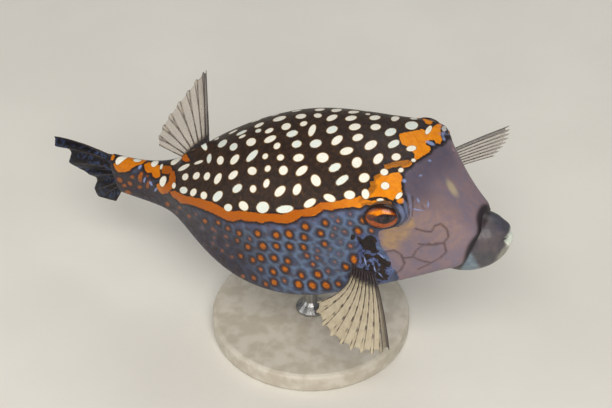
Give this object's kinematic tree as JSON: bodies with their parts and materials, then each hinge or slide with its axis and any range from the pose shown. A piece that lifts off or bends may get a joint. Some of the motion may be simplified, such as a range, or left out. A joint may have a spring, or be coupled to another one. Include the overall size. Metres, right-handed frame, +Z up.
{
  "type": "spotted boxfish display model",
  "caption": "Life-size model of a male spotted boxfish: boxy spotted back, blue sides, fanned fins and pursed lips, held nose up by a rod on a round base.",
  "frame": {"origin": "centre of the stand base's underside, on the floor", "axes": "+X towards the fish's mouth, +Y to the fish's left, +Z up"},
  "size_m": [0.1671, 0.0781, 0.087],
  "materials": {
    "skin_head": "satin painted cast, grey-mauve with fine speckle",
    "skin_back": "satin painted cast, dark brown with cream spots over blue sides with orange spots",
    "skin_stalk": "satin painted cast, orange over blue",
    "lips": "satin painted cast, dark blue-grey",
    "teeth": "glossy ivory",
    "eye": "glossy, orange iris and dark pupil under a clear dome",
    "fin_clear": "thin translucent sheet with darker rays",
    "fin_tail": "opaque blackish sheet with blue marbling",
    "stand_base": "honed pale stone",
    "stand_rod": "satin"
  },
  "bodies": {
    "root": {"head": "skin_head", "carapace": "skin_back", "tail_stalk": "skin_stalk", "tail_fin": "fin_tail", "dorsal_fin": "fin_clear", "anal_fin": "fin_clear", "pectoral_fin_right": "fin_clear", "pectoral_fin_left": "fin_clear", "eye_right": "eye", "eye_left": "eye", "upper_lip": "lips", "lower_lip": "lips", "teeth": "teeth", "stand_base": "stand_base", "stand_rod": "stand_rod"}
  },
  "joints": []
}
